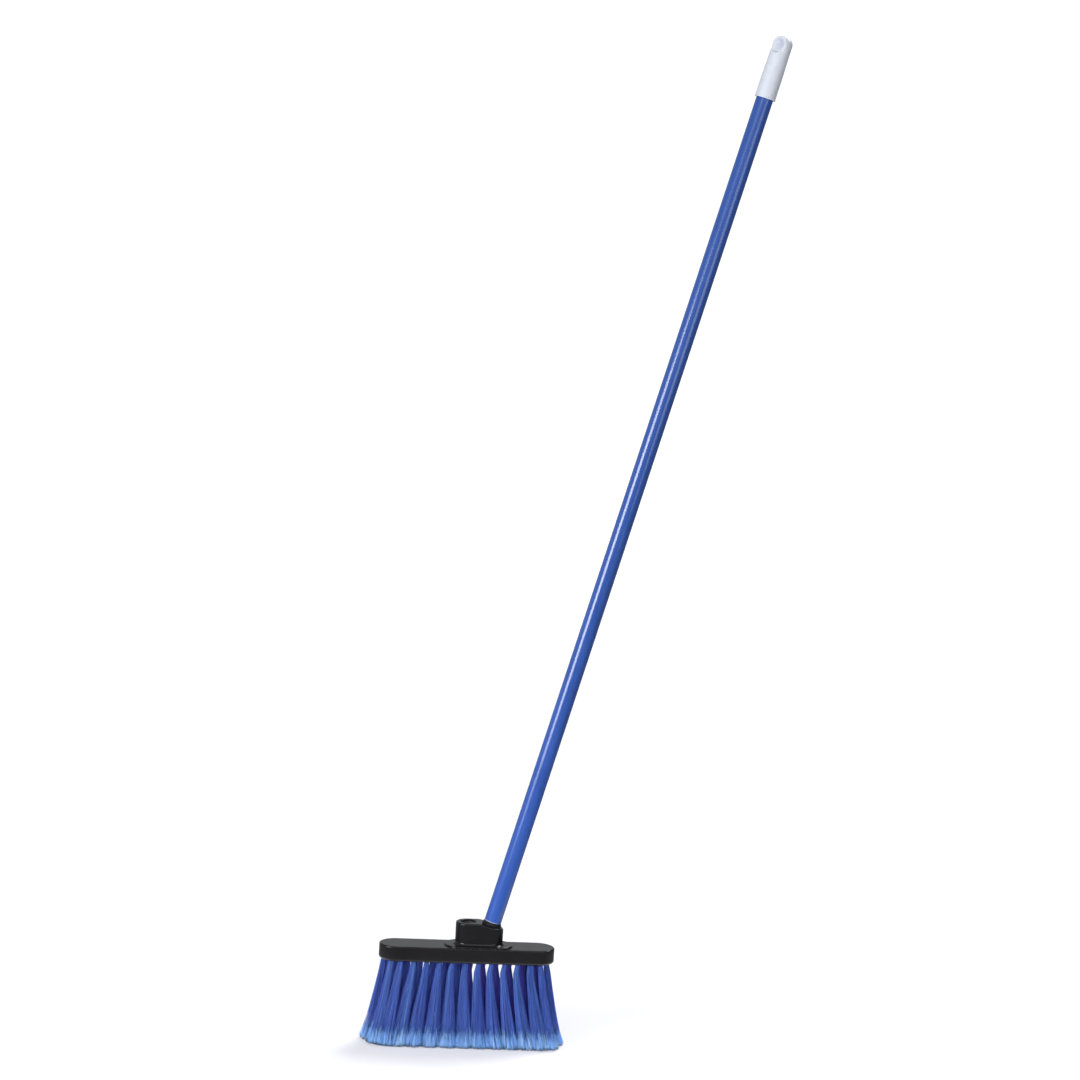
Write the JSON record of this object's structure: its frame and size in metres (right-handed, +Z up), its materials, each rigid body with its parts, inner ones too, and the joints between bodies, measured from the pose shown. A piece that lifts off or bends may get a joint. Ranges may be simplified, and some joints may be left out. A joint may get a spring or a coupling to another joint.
{
  "type": "broom",
  "caption": "Upright floor broom: moulded block with a straight and a slanted threaded socket, flared blue bristle tufts, and a coated tube handle that screws in.",
  "frame": {"origin": "on the floor under the block's middle, on the axis of the upright socket", "axes": "+Z up, +X along the block towards the slanted socket and the handle's lean, +Y across the block"},
  "size_m": [0.4819, 0.0646, 1.3101],
  "materials": {
    "block_plastic": "satin",
    "tip_plastic": "satin",
    "tube_coating": "gloss",
    "cap_plastic": "satin",
    "staple_wire": "satin",
    "bristle": "matte"
  },
  "bodies": {
    "head": {"head_block": "block_plastic", "front_staples": "staple_wire", "middle_staples": "staple_wire", "back_staples": "staple_wire", "front_tuft_01": "bristle", "front_tuft_02": "bristle", "front_tuft_03": "bristle", "front_tuft_04": "bristle", "front_tuft_05": "bristle", "front_tuft_06": "bristle", "front_tuft_07": "bristle", "front_tuft_08": "bristle", "front_tuft_09": "bristle", "front_tuft_10": "bristle", "front_tuft_11": "bristle", "front_tuft_12": "bristle", "front_tuft_13": "bristle", "middle_tuft_01": "bristle", "middle_tuft_02": "bristle", "middle_tuft_03": "bristle", "middle_tuft_04": "bristle", "middle_tuft_05": "bristle", "middle_tuft_06": "bristle", "middle_tuft_07": "bristle", "middle_tuft_08": "bristle", "middle_tuft_09": "bristle", "middle_tuft_10": "bristle", "middle_tuft_11": "bristle", "middle_tuft_12": "bristle", "middle_tuft_13": "bristle", "middle_tuft_14": "bristle", "back_tuft_01": "bristle", "back_tuft_02": "bristle", "back_tuft_03": "bristle", "back_tuft_04": "bristle", "back_tuft_05": "bristle", "back_tuft_06": "bristle", "back_tuft_07": "bristle", "back_tuft_08": "bristle", "back_tuft_09": "bristle", "back_tuft_10": "bristle", "back_tuft_11": "bristle", "back_tuft_12": "bristle"},
    "handle": {"handle_tube": "tube_coating"},
    "tip": {"threaded_tip": "tip_plastic"},
    "cap": {"end_cap": "cap_plastic"}
  },
  "joints": [
    {"name": "handle_screw", "type": "slide", "parent": "head", "child": "handle", "axis": [0.2588, 0, 0.9659], "range_m": [0, 0.0254]},
    {"name": "tip_turn", "type": "hinge", "parent": "handle", "child": "tip", "pos_m": [0.03035, 0, 0.155], "axis": [0.2588, 0, 0.9659], "range_deg": [0, 1801]},
    {"name": "cap_turn", "type": "hinge", "parent": "handle", "child": "cap", "pos_m": [0.03035, 0, 0.155], "axis": [0.2588, 0, 0.9659], "range_deg": [0, 1801]}
  ],
  "couplings": [
    {"joint": "tip_turn", "follows": "handle_screw", "rad_per_m": 1236.8},
    {"joint": "cap_turn", "follows": "handle_screw", "rad_per_m": 1236.8}
  ]
}
